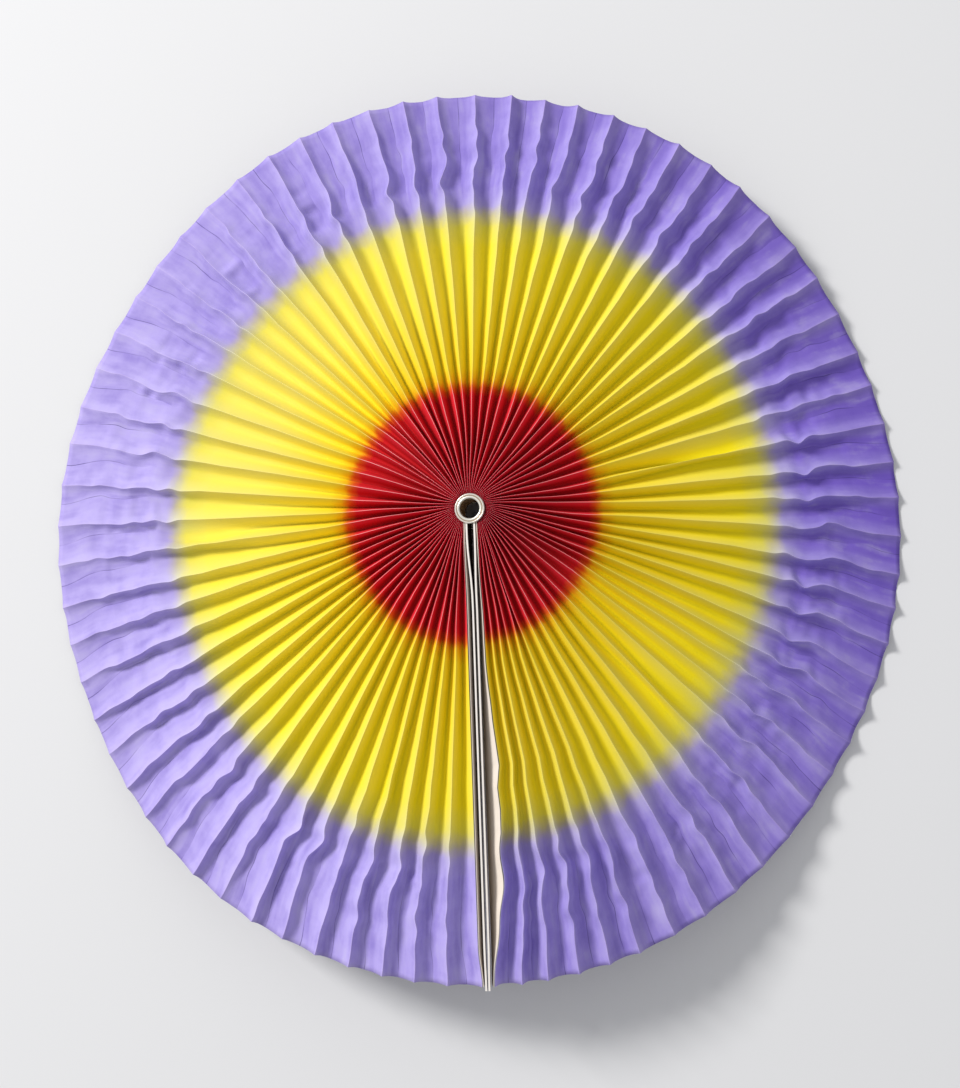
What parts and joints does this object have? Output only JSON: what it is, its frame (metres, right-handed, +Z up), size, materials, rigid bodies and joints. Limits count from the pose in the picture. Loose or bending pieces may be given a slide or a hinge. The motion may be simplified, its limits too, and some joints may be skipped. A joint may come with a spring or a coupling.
{
  "type": "paper fan rosette",
  "caption": "Pleated paper fan opened into a full round rosette about a metal eyelet, dyed in red, yellow and purple rings, with card guards closed side by side.",
  "frame": {"origin": "on the floor, under the middle of the bounding box, just beside the eyelet's axis", "axes": "+Z up, the dyed side's way; -Y along the closed guards from the eyelet; +X to the right with the guards pointing at the viewer"},
  "size_m": [0.2938, 0.3004, 0.0364],
  "materials": {
    "dyed_paper": "matt, dyed red at the hub, then yellow, then purple to the rim",
    "white_paper": "matt",
    "white_card": "matt, cut edge",
    "nickel": "bright nickel plate"
  },
  "bodies": {
    "root": {"pleated_sheet": "dyed_paper", "left_end_leaf": "white_paper", "right_end_leaf": "white_paper", "left_guard_card": "white_card", "right_guard_card": "white_card", "eyelet": "nickel", "eyelet_washer": "nickel"}
  },
  "joints": []
}
